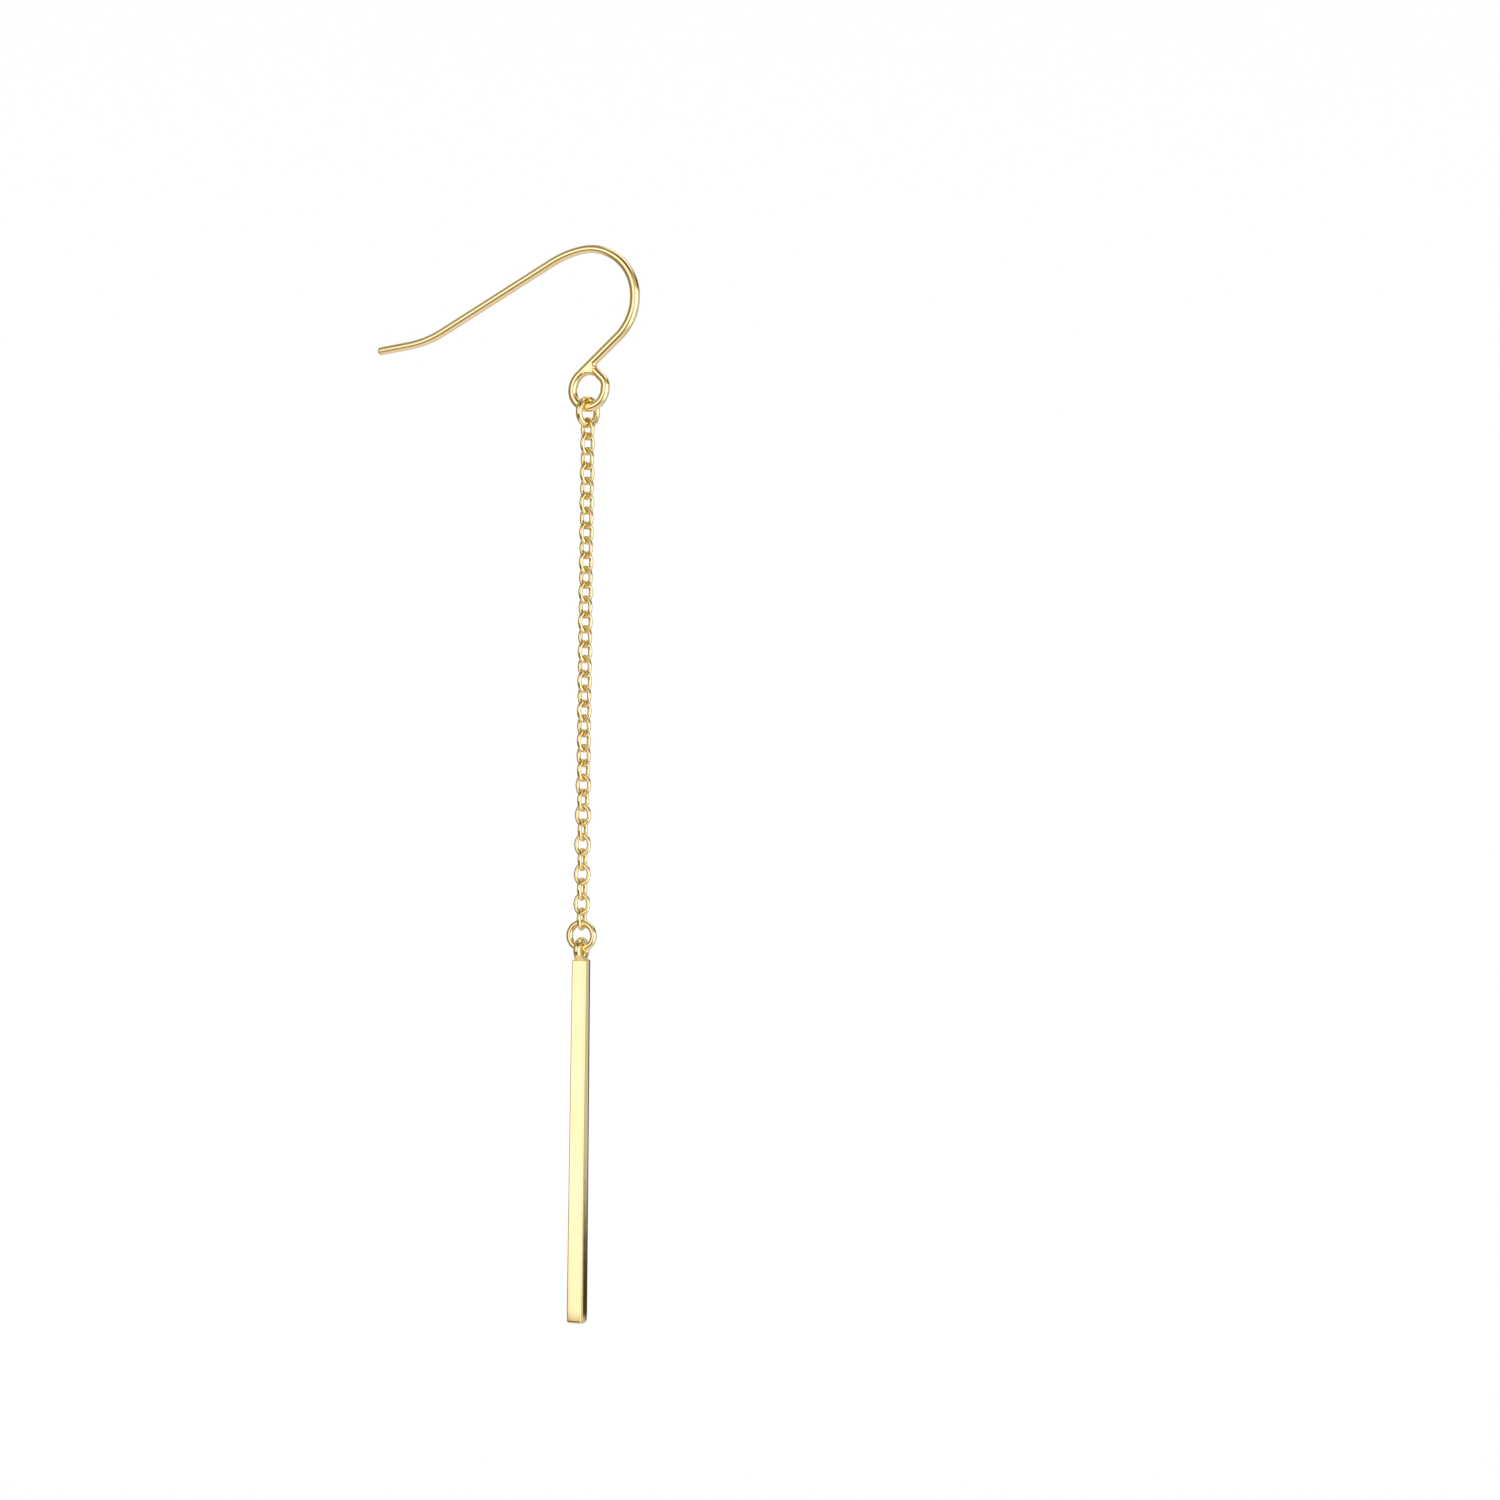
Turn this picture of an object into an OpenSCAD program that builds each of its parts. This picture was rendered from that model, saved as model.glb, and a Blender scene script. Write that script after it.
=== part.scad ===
// Bar earring: an ear wire, two jump rings, a fine cable chain and a square bar.
// The origin is the ear seat, the underside of the wire's crown, where it hangs in the ear.
// The ear wire lies in the XZ plane with its tip towards -X, and the drop hangs along -Z.

/* [Ear wire thickness] */
// Wire at the tip that goes through the ear
tip_wire = 0.8; // [0.7:0.02:0.9]
// Wire along the straight back leg
back_leg_wire = 0.84; // [0.76:0.02:0.94]
// Wire at the crown, over the ear
crown_wire = 0.8; // [0.72:0.02:0.9]
// Wire at the front bend, the thickest place
front_wire = 1; // [0.88:0.02:1.1]
// Wire where the front bend runs out into the front leg
front_leg_wire = 0.94; // [0.86:0.02:1.02]
// Wire of the eye
eye_wire = 0.9; // [0.84:0.02:0.96]
// End of the eye's wire, filed down where it closes on the front leg
closing_wire = 0.84; // [0.74:0.02:0.88]

/* [Ear wire shape] */
// Straight end that goes through the ear
tip_length = 3.3; // [2.4:0.1:5]
// Bevel round the tip's cut end
tip_bevel = 0.12; // [0.06:0.02:0.2]
// Angle by which the tip flattens out of the back leg
tip_bend_angle = 20.8; // [10:0.2:30]
// Radius of that bend
tip_bend_radius = 10.4; // [6:0.1:14]
// Straight back leg
back_leg_length = 13.6; // [9:0.1:18]
// Angle of the slow bend between back leg and crown
brow_angle = 19.2; // [10:0.2:25]
// Radius of the slow bend
brow_radius = 10.2; // [7:0.1:14]
// Part of the crown behind the seat
crown_back_angle = 10.8; // [8:0.1:20]
// Part of the crown in front of the seat
crown_front_angle = 83.5; // [76:0.5:90]
// Radius of the crown
crown_radius = 4.77; // [4.2:0.01:5.4]
// Angle of the front bend below the crown
front_angle = 53.5; // [46:0.5:60]
// Radius of the front bend
front_radius = 5.42; // [4.8:0.02:6.2]
// Straight front leg, down to the eye
front_leg_length = 5.58; // [5:0.02:7]

/* [Eye] */
// Radius at which the front leg curls into the eye
eye_shoulder_radius = 2.16; // [1.9:0.02:2.4]
// Radius of the eye, at the middle of its wire
eye_radius = 1.65; // [1.56:0.01:1.8]
// Straight rise on the open side of the eye
eye_rise = 0.45; // [0.3:0.05:0.8]
// Radius of the last bend, which closes the eye
closing_radius = 1.27; // [1.1:0.01:1.4]
// Angle of the last bend
closing_angle = 44; // [40:1:50]
// Bead of solder in the corner of the eye
solder_bead = 0.84; // [0.7:0.02:0.9]

/* [Jump rings] */
// Outer diameter of both jump rings
ring_outer = 3.2; // [3:0.05:3.6]
// Wire of both jump rings
ring_wire = 0.65; // [0.55:0.01:0.7]
// Turn of the upper ring out of the ear wire's plane
upper_ring_turn = 66; // [65:0.5:72]

/* [Chain] */
// Number of links
link_count = 34; // [20:2:40]
// Outer length of a link
link_length = 2.415; // [2.3:0.005:2.7]
// Outer width of a link
link_width = 1.78; // [1.7:0.01:1.95]
// Wire of a link
link_wire = 0.45; // [0.38:0.01:0.48]
// Turn of the first link out of the ear wire's plane
first_link_turn = -23; // [-28:1:-18]
// Turn from a link to its neighbour
link_quarter_turn = 80; // [78:1:88]
// Slow twist gathered by the lower part of the chain
chain_twist = 27; // [0:1:28]

/* [Bar] */
// Width of the square bar at its top
bar_width = 1.45; // [1.2:0.05:1.6]
// Width of the square bar at its bottom
bar_low_width = 1.57; // [1.4:0.01:2]
// Length of the bar
bar_length = 36.3; // [20:0.1:50]
// Bevel along the bar's four long edges
bar_bevel = 0.06; // [0.03:0.01:0.12]
// Rounding of the bar's two ends
bar_end_round = 0.25; // [0.1:0.05:0.35]
// Outer diameter of the eyelet on the bar
eyelet_outer = 2.6; // [2.5:0.05:3]
// Wire of the eyelet
eyelet_wire = 0.78; // [0.66:0.02:0.82]
// Turn of the eyelet out of the ear wire's plane
eyelet_turn = 83; // [80:1:90]
// Depth of the eyelet in its solder on the bar
eyelet_sink = 0.3; // [0.2:0.02:0.36]
// Height of the solder foot under the eyelet
foot_height = 0.38; // [0.3:0.02:0.5]

/* [Play] */
// Gap left where one ring or link hangs in the next
link_play = 0.03; // [0.02:0.005:0.05]
// Gap left where the eyelet swings on the lower ring
swing_play = 0.05; // [0.03:0.01:0.08]

/* [Hidden] */
link_names = [for (i = [1:link_count]) str("link_", i < 10 ? "0" : "", i)];

$fn = 72;
gold = "#e3c478";

// Columns of a stretch of wire: its length, or its angle where it bends (left is positive),
// the radius of the bend (0 for a straight), and the wire at its start and at its end.
RUN = 0;
BEND = 1;
FROM = 2;
TO = 3;

// Sides of the bent wire, and the angle of bend from one of its sections to the next
wire_sides = 16;
bend_step = 9;

// From the crown back to the tip, in a plane mirrored so that it also sets out to the right
back_run = [
    [-crown_back_angle, crown_radius, crown_wire, crown_wire],
    [-brow_angle, brow_radius, crown_wire, back_leg_wire],
    [back_leg_length, 0, back_leg_wire, back_leg_wire],
    [tip_bend_angle, tip_bend_radius, back_leg_wire, back_leg_wire]
];

// From the crown forward and down to the eye, which it enters pointing straight down
eye_entry_angle = crown_front_angle + front_angle - 90;
front_run = [
    [-crown_front_angle, crown_radius, crown_wire, front_wire],
    [-front_angle, front_radius, front_wire, front_leg_wire],
    [front_leg_length, 0, front_leg_wire, eye_wire],
    [eye_entry_angle, eye_shoulder_radius, eye_wire, eye_wire],
    [180, eye_radius, eye_wire, eye_wire],
    [eye_rise, 0, eye_wire, eye_wire],
    [closing_angle, closing_radius, eye_wire, eye_wire]
];
LEG_END = 3;
EYE_START = 4;

// A pose is [x, y, heading]; this is the pose at the end of one stretch
function after(pose, row) =
    row[BEND] == 0
        ? [pose[0] + row[RUN] * cos(pose[2]), pose[1] + row[RUN] * sin(pose[2]), pose[2]]
        : let (turn = pose[2] + row[RUN], r = row[BEND] * sign(row[RUN]))
            [pose[0] + r * (sin(turn) - sin(pose[2])), pose[1] - r * (cos(turn) - cos(pose[2])), turn];

// Pose after the first count stretches of a run
function pose_at(run, count, pose = [0, 0, 0], i = 0) =
    i >= count ? pose : pose_at(run, count, after(pose, run[i]), i + 1);

// Sections of the wire along a run, each [x, y, heading, wire], after its first one
function bends_in(row) = row[BEND] == 0 ? 1 : ceil(abs(row[RUN]) / bend_step);
function sections(run) = [
    for (i = [0:len(run) - 1])
        let (start = pose_at(run, i), row = run[i], n = bends_in(row))
            for (k = [1:n])
                let (pose = after(start, [row[RUN] * k / n, row[BEND]]))
                    concat(pose, row[FROM] + (row[TO] - row[FROM]) * k / n)
];

// Distance along pose a's heading to the line through pose b
function reach_to_line(a, b) =
    ((b[0] - a[0]) * sin(b[2]) - (b[1] - a[1]) * cos(b[2])) / sin(b[2] - a[2]);

// The run's plane has its origin at the middle of the crown's wire, above the ear seat
seat_drop = crown_wire / 2;
tip_start = pose_at(back_run, len(back_run));
leg_end = pose_at(front_run, LEG_END);
eye_start = pose_at(front_run, EYE_START);
closing_start = pose_at(front_run, len(front_run));
closing_length = reach_to_line(closing_start, leg_end);
eye_corner = after(closing_start, [closing_length, 0]);

// The drop hangs below the middle of the eye
drop_x = eye_start[0] + eye_radius;
eye_bottom_z = eye_start[1] - eye_radius + seat_drop;

ring_radius = (ring_outer - ring_wire) / 2;
upper_ring_z = eye_bottom_z + (eye_wire + ring_wire) / 2 + link_play - ring_radius;

link_reach = (link_length - link_wire) / 2;
link_end_radius = (link_width - link_wire) / 2;
link_pitch = link_length - 2 * link_wire - link_play;
first_link_z = upper_ring_z - ring_radius + (ring_wire + link_wire) / 2 + link_play - link_reach;
function link_z(i) = first_link_z - i * link_pitch;

// The upper links keep one turn and its neighbour's; the twist grows in between these shares
twist_from = 0.58;
twist_to = 0.88;
function ease(t) = let (u = min(1, max(0, t))) u * u * (3 - 2 * u);
function twist_at(i) =
    chain_twist * ease((i / (link_count - 1) - twist_from) / (twist_to - twist_from));
function link_turn(i) = first_link_turn + (i % 2) * link_quarter_turn + twist_at(i);

lower_ring_z = link_z(link_count - 1) - link_reach + (ring_wire + link_wire) / 2 + link_play
    - ring_radius;

eyelet_radius = (eyelet_outer - eyelet_wire) / 2;
eyelet_z = lower_ring_z - ring_radius + (ring_wire + eyelet_wire) / 2 + swing_play - eyelet_radius;
bar_top_z = eyelet_z - eyelet_outer / 2 + eyelet_sink;
foot_width = bar_width - 2 * bar_bevel;

// The bent wire from the tip's bend over the crown to the eye's last bend
module bent_wire() {
    back = sections(back_run);
    path = concat(
        [for (i = [len(back) - 1:-1:0]) [-back[i][0], back[i][1], -back[i][2], back[i][3]]],
        [[0, 0, 0, crown_wire]],
        sections(front_run)
    );
    last = len(path) - 1;
    points = [
        for (s = path)
            for (j = [0:wire_sides - 1])
                let (a = 360 * j / wire_sides, out = s[3] / 2 * cos(a))
                    [s[0] - out * sin(s[2]), s[1] + out * cos(s[2]), s[3] / 2 * sin(a)]
    ];
    walls = [
        for (i = [0:last - 1])
            for (j = [0:wire_sides - 1])
                let (
                    a = i * wire_sides + j,
                    b = i * wire_sides + (j + 1) % wire_sides
                )
                    each [[b, a, b + wire_sides], [b + wire_sides, a, a + wire_sides]]
    ];
    ends = [
        [for (j = [0:wire_sides - 1]) j],
        [for (j = [wire_sides - 1:-1:0]) last * wire_sides + j]
    ];
    polyhedron(points, concat(walls, ends));
}

// A straight round wire that sets out from a pose, rooted a little way behind it
module straight_wire(pose, length, wire, bevel = 0) {
    root = wire / 4;
    translate([pose[0], pose[1], 0])
        rotate([0, 0, pose[2]])
            rotate([0, 90, 0]) {
                translate([0, 0, -root])
                    cylinder(h = root + length, d = wire);
                if (bevel > 0)
                    translate([0, 0, length])
                        cylinder(h = bevel, d1 = wire, d2 = wire - 2 * bevel);
            }
}

// The eye's last straight, ending inside the front leg, and the solder in its corner
module eye_closing() {
    straight_wire(closing_start, closing_length, closing_wire);
    translate([eye_corner[0], eye_corner[1] - eye_wire / 2, 0])
        sphere(d = solder_bead);
}

module ear_hook() {
    color(gold)
        translate([0, 0, seat_drop])
            rotate([90, 0, 0]) {
                bent_wire();
                mirror([1, 0, 0])
                    straight_wire(tip_start, tip_length, tip_wire, tip_bevel);
                eye_closing();
            }
}

// A ring in the XZ plane, turned about the drop's own line
module hanging_ring(z, turn, radius, wire) {
    translate([drop_x, 0, z])
        rotate([0, 0, turn])
            rotate([90, 0, 0])
                rotate_extrude()
                    translate([radius, 0])
                        circle(d = wire);
}

module upper_ring() {
    color(gold)
        hanging_ring(upper_ring_z, upper_ring_turn, ring_radius, ring_wire);
}

module lower_ring() {
    color(gold)
        hanging_ring(lower_ring_z, 0, ring_radius, ring_wire);
}

// One oval link: two half rings joined by two short straights, standing in the XZ plane
module link(i) {
    straight = 2 * (link_reach - link_end_radius);
    color(gold)
        translate([drop_x, 0, link_z(i)])
            rotate([0, 0, link_turn(i)])
                for (half = [0, 180])
                    rotate([0, half, 0]) {
                        translate([0, 0, straight / 2])
                            rotate([90, 0, 0])
                                rotate_extrude(angle = 180)
                                    translate([link_end_radius, 0])
                                        circle(d = link_wire);
                        translate([link_end_radius, 0, -straight / 2])
                            cylinder(h = straight, d = link_wire);
                    }
}

// Half the bar's width at a depth below its top face
function bar_half(depth) = (bar_width + (bar_low_width - bar_width) * depth / bar_length) / 2;

// View of the bar on one of its sides, below its top face, with both ends rounded
module bar_face_view() {
    arc = [for (a = [0:30:90]) bar_end_round * [cos(a), sin(a)]];
    high = bar_half(bar_end_round) - bar_end_round;
    low = bar_half(bar_length - bar_end_round) - bar_end_round;
    right = concat(
        [for (i = [len(arc) - 1:-1:0]) [high + arc[i][0], arc[i][1] - bar_end_round]],
        [for (p = arc) [low + p[0], bar_end_round - bar_length - p[1]]]
    );
    polygon(concat(right, [for (i = [len(right) - 1:-1:0]) [-right[i][0], right[i][1]]]));
}

// View of the bar on one of its long edges, which keeps them to their bevels
module bar_edge_view() {
    high = (2 * bar_half(0) - bar_bevel) / sqrt(2);
    low = (2 * bar_half(bar_length) - bar_bevel) / sqrt(2);
    polygon([[high, 0], [low, -bar_length], [-low, -bar_length], [-high, 0]]);
}

// Draws a view out across the whole bar, looked at from one turn about it
module seen_from(turn) {
    rotate([90, 0, turn])
        linear_extrude(2 * bar_low_width, center = true)
            children();
}

// The square bar with its eyelet soldered on top, one piece of metal
module bar() {
    color(gold)
        translate([drop_x, 0, bar_top_z]) {
            intersection() {
                seen_from(0) bar_face_view();
                seen_from(90) bar_face_view();
                seen_from(45) bar_edge_view();
                seen_from(135) bar_edge_view();
            }
            cylinder(h = foot_height, d1 = foot_width, d2 = eyelet_wire);
        }
    color(gold)
        hanging_ring(eyelet_z, eyelet_turn, eyelet_radius, eyelet_wire);
}

ear_hook();
upper_ring();
for (i = [0:link_count - 1])
    link(i);
lower_ring();
bar();
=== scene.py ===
import functools
import itertools
import math

import bpy
import numpy as np
from bpy.props import FloatProperty, FloatVectorProperty, IntProperty, PointerProperty
from mathutils import Matrix, Vector


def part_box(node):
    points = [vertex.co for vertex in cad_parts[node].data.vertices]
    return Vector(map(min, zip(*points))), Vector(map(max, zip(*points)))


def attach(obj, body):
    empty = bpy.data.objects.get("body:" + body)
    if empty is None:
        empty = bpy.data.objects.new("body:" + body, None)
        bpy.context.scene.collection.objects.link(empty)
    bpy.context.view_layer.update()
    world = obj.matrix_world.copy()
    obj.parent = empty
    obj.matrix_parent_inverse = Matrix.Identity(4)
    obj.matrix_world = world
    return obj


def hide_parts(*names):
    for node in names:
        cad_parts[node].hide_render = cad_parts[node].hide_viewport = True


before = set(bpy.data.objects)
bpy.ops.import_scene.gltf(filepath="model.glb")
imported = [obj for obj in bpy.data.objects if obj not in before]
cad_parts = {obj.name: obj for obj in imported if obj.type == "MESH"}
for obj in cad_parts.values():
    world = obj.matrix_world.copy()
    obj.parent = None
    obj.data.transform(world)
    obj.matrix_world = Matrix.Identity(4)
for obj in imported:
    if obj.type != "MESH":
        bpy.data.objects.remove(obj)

bl_info = {
    "name": "Bar Earring",
    "version": (1, 0, 0),
    "blender": (4, 5, 0),
    "location": "View3D > Sidebar > Earring",
    "description": "A drop earring: ear wire, jump rings, cable chain and square bar",
    "category": "Add Mesh",
}

MM = 0.001
LINKS = sorted(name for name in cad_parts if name.startswith("link_"))


def middle(node):
    """Middle of a node's box at rest."""
    low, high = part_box(node)
    return (low + high) / 2


DROP_X = middle("lower_ring").x


def length(name, millimetres, description):
    """A size that is kept in metres and given here in millimetres."""
    return FloatProperty(
        name=name, description=description, default=millimetres * MM, min=0.0, unit="LENGTH", precision=5
    )


def angle(name, degrees, description):
    """An angle that is kept in radians and given here in degrees."""
    return FloatProperty(
        name=name, description=description, default=math.radians(degrees), subtype="ANGLE"
    )


def share(name, value, description):
    """A plain number from 0 to 1."""
    return FloatProperty(
        name=name, description=description, default=value, min=0.0, max=1.0, subtype="FACTOR"
    )


def number(name, value, description, least=0.0):
    """A plain number."""
    return FloatProperty(name=name, description=description, default=value, min=least)


def colour(name, rgb, description):
    """A colour in linear light."""
    return FloatVectorProperty(
        name=name, description=description, default=rgb, size=3, min=0.0, max=1.0, subtype="COLOR"
    )


class EarWireSizes(bpy.types.PropertyGroup):
    """Sizes of the ear wire, which is bent from one piece."""

    tip_wire: length("Tip wire", 0.8, "Wire at the tip that goes through the ear")
    back_leg_wire: length("Back leg wire", 0.84, "Wire along the straight back leg")
    crown_wire: length("Crown wire", 0.8, "Wire at the crown, over the ear")
    front_wire: length("Front wire", 1.0, "Wire at the front bend, the thickest place")
    front_leg_wire: length("Front leg wire", 0.94, "Wire where the front bend runs into the front leg")
    eye_wire: length("Eye wire", 0.9, "Wire of the eye")
    closing_wire: length("Closing wire", 0.84, "Filed end of the wire, where the eye closes")
    closing_taper: length("Closing taper", 0.07, "How much more is filed off its inner side")
    tip_length: length("Tip", 3.21, "Straight end that goes through the ear")
    tip_bevel: length("Tip bevel", 0.21, "Rounding of the tip's cut end")
    tip_bend: angle("Tip bend", 20.8, "Bend between the tip and the back leg")
    tip_bend_radius: length("Tip bend radius", 10.4, "Radius of that bend")
    back_leg: length("Back leg", 13.6, "Straight back leg")
    brow: angle("Brow", 19.2, "Slow bend between back leg and crown")
    brow_radius: length("Brow radius", 10.2, "Radius of the slow bend")
    crown_back: angle("Crown, back", 10.8, "Part of the crown behind the ear seat")
    crown_front: angle("Crown, front", 83.5, "Part of the crown in front of the ear seat")
    crown_radius: length("Crown radius", 4.77, "Radius of the crown")
    front: angle("Front bend", 53.5, "Bend below the crown")
    front_radius: length("Front bend radius", 5.42, "Radius of the front bend")
    front_leg: length("Front leg", 5.58, "Straight front leg, down to the eye")
    shoulder_radius: length("Eye shoulder", 2.16, "Radius at which the leg curls into the eye")
    eye_radius: length("Eye radius", 1.65, "Radius of the eye, at the middle of its wire")
    eye_rise: length("Eye rise", 0.45, "Straight rise on the open side of the eye")
    fullness: length("Fullness", 0.17, "How far the eye's front side stands out past its bends")
    fullness_reach: length("Fullness reach", 1.15, "Height over which it does so")
    fullness_place: length("Fullness place", 0.45, "Height of its fullest place over the rise's middle")
    closing_radius: length("Closing radius", 1.27, "Radius of the last bend")
    closing: angle("Closing bend", 44, "The last bend, which closes the eye")
    inner_fillet: length("Inner fillet", 1.12, "Reach of the solder in the corner inside the eye")
    outer_fillet: length("Outer fillet", 0.3, "Reach of the solder in the corner outside the eye")
    filed_depth: length("Filed depth", 0.455, "Half the solder's depth, where it is filed flat")
    strand_stop: length("Strand's stop", 0.5, "How far short of the leg's middle the strand stops")
    collar: length("Collar", 0.045, "Solder round the closing strand, up to its groove")
    groove: length("Groove", 0.05, "Width of the groove where the closing strand meets its solder")
    groove_depth: share("Groove's depth", 0.13, "Depth of that groove, as a share of the strand's radius")
    groove_place: length("Groove's place", 0.62, "Distance of that groove from the leg's middle")
    groove_slant: number("Groove's slant", 0.8, "How far the solder runs on, for each distance inwards")
    sides: IntProperty(name="Sides", description="Sides of the round wire", default=32, min=8)


class RingSizes(bpy.types.PropertyGroup):
    """Sizes of the two jump rings."""

    outer: length("Outer diameter", 3.2, "Outer diameter of both jump rings")
    wire: length("Wire", 0.67, "Wire of both jump rings")
    upper_turn: angle("Upper ring's turn", 66, "Turn of the upper ring out of the ear wire's plane")
    upper_seam: angle("Upper seam", 60, "How far down the upper ring's seam lies")
    lower_seam: angle("Lower seam", 90, "How far down the lower ring's seam lies")
    bead: share("Solder bead", 0.05, "Swelling of the upper ring at its seam, as a share of its wire")
    seam_depth: share("Seam depth", 0.06, "Depth of the closed seam, as a share of the wire")
    seam_width: length("Seam width", 0.05, "Width of the closed seam")


class ChainSizes(bpy.types.PropertyGroup):
    """Sizes of the cable chain."""

    link_length: length("Link length", 2.355, "Outer length of a link")
    link_width: length("Link width", 1.73, "Outer width of a link")
    wire: length("Wire", 0.42, "Wire of a link")
    squareness: number("Squareness", 2.0, "Shape of a link: 2 is an ellipse, more is squarer", 2.0)
    first_turn: angle("First link's turn", -23, "Turn of the first link out of the ear wire's plane")
    quarter_turn: angle("Quarter turn", 80, "Turn from a link to its neighbour")
    twist: angle("Twist", 27, "Slow twist gathered by the lower part of the chain")
    twist_from: share("Twist from", 0.58, "Share of the chain where the twist begins")
    twist_to: share("Twist to", 0.88, "Share of the chain where the twist is complete")
    bead: share("Solder bead", 0.07, "Swelling of a link where it is soldered, as a share of its wire")
    loose_turn: angle("Loose turn", 1.5, "Largest turn of a link away from its even place")
    seed: IntProperty(name="Seed", description="Seed of the links' loose turns", default=7)


class BarSizes(bpy.types.PropertyGroup):
    """Sizes of the square bar and its eyelet."""

    width: length("Width", 1.49, "Width of the bar at its top")
    low_width: length("Lower width", 1.59, "Width of the bar at its bottom")
    bar_length: length("Length", 36.3, "Length of the bar")
    corner: length("Long edges", 0.11, "Rounding of the four long edges")
    front_crown: length("Front crown", 0.016, "How far front and back stand out in their middle")
    side_crown: length("Side crown", 0.065, "How far the sides stand out in their middle")
    end_round: length("Lower end", 0.2, "Rounding of the bar's lower end")
    end_soften: length("Softened end", 0.045, "How far the polished faces fall back at the lower end")
    end_reach: length("Softened reach", 1.5, "Height over which they fall back")
    top_round: length("Upper end", 0.1, "Rounding of the bar's upper end")
    eyelet_outer: length("Eyelet", 2.6, "Outer diameter of the eyelet")
    eyelet_wire: length("Eyelet wire", 0.78, "Wire of the eyelet")
    eyelet_sink: length("Eyelet sink", 0.3, "Depth of the eyelet in its solder")
    eyelet_turn: angle("Eyelet turn", 83, "Turn of the eyelet out of the ear wire's plane")
    foot: length("Foot", 0.4, "Reach of the solder between eyelet and bar")
    foot_inset: length("Foot inset", 0.1, "How far the solder keeps inside the bar's faces")
    top_turn: angle("Upper turn", 2.7, "Turn of the bar's upper end")
    low_turn: angle("Lower turn", -4.7, "Turn of its lower end, as the bar is slightly twisted")


class GoldFinish(bpy.types.PropertyGroup):
    """Colours and polish of the gold plating."""

    plating: colour("Plating", (1.0, 0.83, 0.38), "Colour of the plating")
    # Also painted over the bar's lower end, as a painted reflection of its warmer tone there
    warm: colour("Warm plating", (1.0, 0.797, 0.318), "Colour where the plating is thicker")
    roughness: share("Roughness", 0.06, "Roughness of the polished plating")
    polish: share("Polish marks", 0.25, "Strength of the fine marks left by polishing")
    dents: length("Dents", 0.004, "Depth of the soft dents left by hand polishing")
    wear: share("Tip wear", 0.22, "Roughness that rubbing adds at the ear wire's tip")
    worn_length: length("Worn length", 9, "Length of wire over which the tip's wear fades")
    # Height below which the bar's plating is painted warm: a painted reflection at its lower end
    painted_warmth_below: length("Painted warmth below", 101, "How far below the ear seat the bar's plating gets thicker")


class StudioSizes(bpy.types.PropertyGroup):
    """Camera, light and floor."""

    camera_turn: angle("Camera turn", 18, "Turn of the camera about the earring, towards its front leg")
    camera_roll: angle("Camera roll", 0.7, "Roll of the camera about its own axis")
    camera_distance: length("Camera distance", 425.3, "Distance of the camera from the drop")
    camera_offset: length("Camera offset", 16.62, "How far right of the drop the camera's axis passes")
    camera_drop: length("Camera drop", 49.5, "How far below the ear seat the camera stands")
    focal_length: number("Focal length", 102.07, "Focal length of the lens, in mm", 10.0)
    floor_drop: length("Floor drop", 250, "How far below the ear seat the floor lies")
    floor_grey: share("Floor grey", 0.93, "Lightness of the floor and backdrop")


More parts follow.
